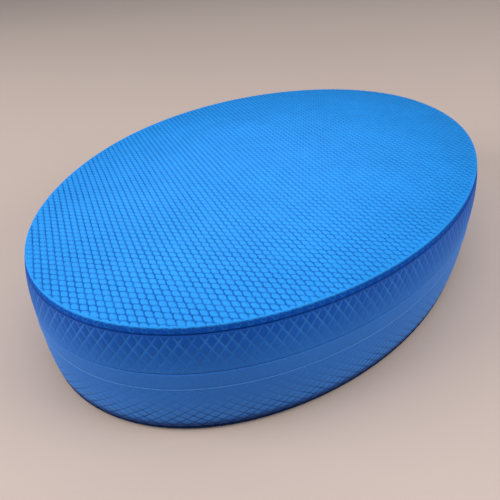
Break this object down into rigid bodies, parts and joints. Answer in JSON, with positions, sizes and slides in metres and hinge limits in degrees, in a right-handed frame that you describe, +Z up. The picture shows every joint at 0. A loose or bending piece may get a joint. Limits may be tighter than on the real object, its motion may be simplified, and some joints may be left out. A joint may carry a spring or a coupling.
{
  "type": "balance pad",
  "caption": "Oval balance pad of bonded closed-cell foam layers: flat diamond-embossed treads above and below, barrel-shaped side with a smooth middle band.",
  "frame": {"origin": "centre of the oval underside, on the floor", "axes": "+X along the long way of the oval, +Y across it, +Z up through the thickness to the tread that is stood on"},
  "size_m": [0.316, 0.218, 0.06],
  "materials": {
    "tread_foam": "matte",
    "core_foam": "matte",
    "band_foam": "matte",
    "adhesive": "satin"
  },
  "bodies": {
    "root": {"bottom_tread_skin": "tread_foam", "bottom_skin_bond": "adhesive", "lower_foam_layer": "core_foam", "lower_core_bond": "adhesive", "middle_foam_layer": "band_foam", "upper_core_bond": "adhesive", "upper_foam_layer": "core_foam", "top_skin_bond": "adhesive", "top_tread_skin": "tread_foam"}
  },
  "joints": []
}
